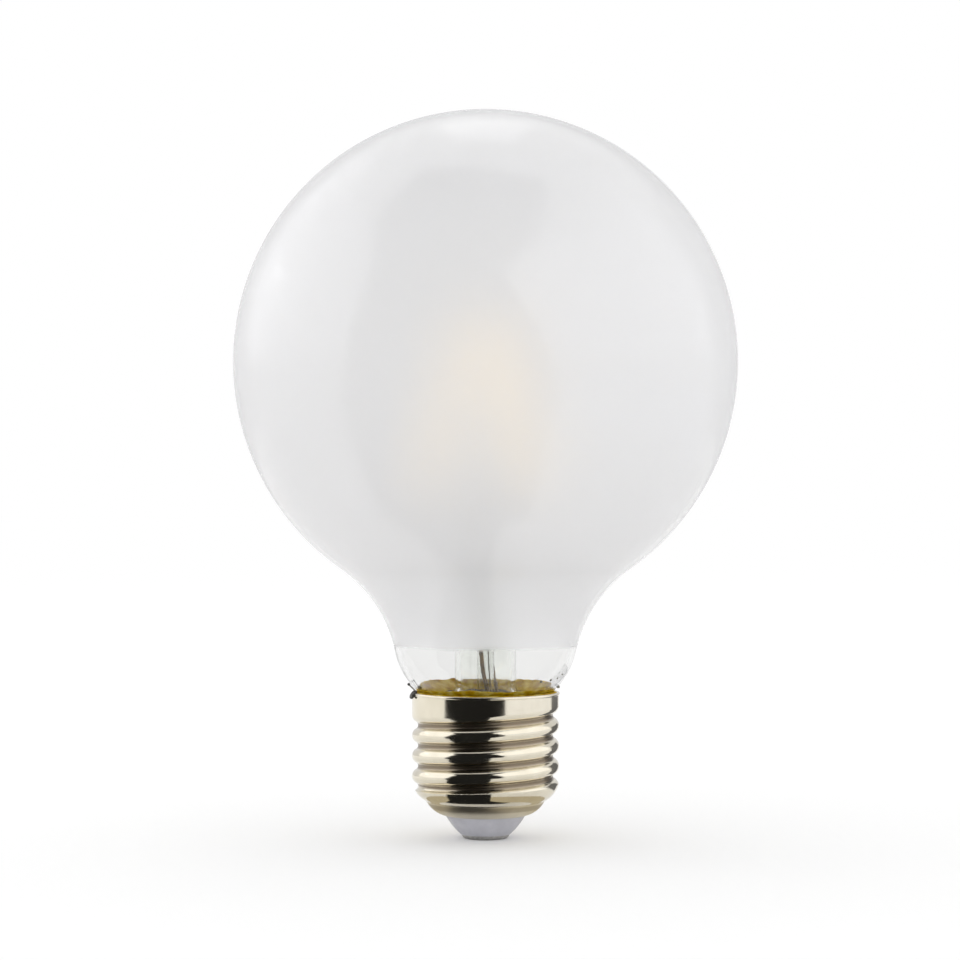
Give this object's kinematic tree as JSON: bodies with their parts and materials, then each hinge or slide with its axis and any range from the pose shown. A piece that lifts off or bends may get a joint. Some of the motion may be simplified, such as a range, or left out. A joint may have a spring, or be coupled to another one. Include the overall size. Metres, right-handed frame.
{
  "type": "led filament bulb",
  "caption": "Globe lamp with frosted glass, clear neck, leaning yellow filaments on a glass stem, driver board and a nickel E27 screw cap with white insulator.",
  "frame": {"origin": "centre of the flat face of the centre contact, at the bottom of the cap", "axes": "+Z along the lamp's axis from the cap to the top of the globe, -Y towards the camera of the picture, +X to its right"},
  "size_m": [0.09, 0.09, 0.13],
  "materials": {
    "frosted_glass": "glossy outside, frosted inside, clear neck",
    "clear_glass": "clear",
    "nickel_wire": "drawn wire",
    "copper_wire": "oxidised copper",
    "phosphor": "silicone with yellow phosphor",
    "nickel_shell": "warm nickel plate",
    "cement": "cured capping cement",
    "solder": "dull solder with flux",
    "white_insulator": "moulded white",
    "nickel_contact": "nickel plate",
    "circuit_board": "white solder mask",
    "capacitor_sleeve": "shrink sleeve",
    "ferrite": "sintered ferrite",
    "black_case": "moulded epoxy",
    "resistor_body": "cement coat"
  },
  "bodies": {
    "root": {"globe_glass": "frosted_glass", "stem_flare": "clear_glass", "exhaust_tube": "clear_glass", "support_post": "clear_glass", "top_spider": "nickel_wire", "front_lead": "copper_wire", "rear_lead": "copper_wire", "front_foot_wire": "nickel_wire", "rear_foot_wire": "nickel_wire", "filament_1": "phosphor", "filament_1_foot_tab": "nickel_wire", "filament_1_top_tab": "nickel_wire", "filament_2": "phosphor", "filament_2_foot_tab": "nickel_wire", "filament_2_top_tab": "nickel_wire", "filament_3": "phosphor", "filament_3_foot_tab": "nickel_wire", "filament_3_top_tab": "nickel_wire", "filament_4": "phosphor", "filament_4_foot_tab": "nickel_wire", "filament_4_top_tab": "nickel_wire", "screw_shell": "nickel_shell", "cement_ring": "cement", "side_wire": "copper_wire", "side_solder": "solder", "insulator": "white_insulator", "centre_contact": "nickel_contact", "centre_wire": "copper_wire", "driver_board": "circuit_board", "capacitor": "capacitor_sleeve", "inductor_core": "ferrite", "inductor_winding": "copper_wire", "rectifier": "black_case", "driver_chip": "black_case", "fuse_resistor": "resistor_body"}
  },
  "joints": []
}
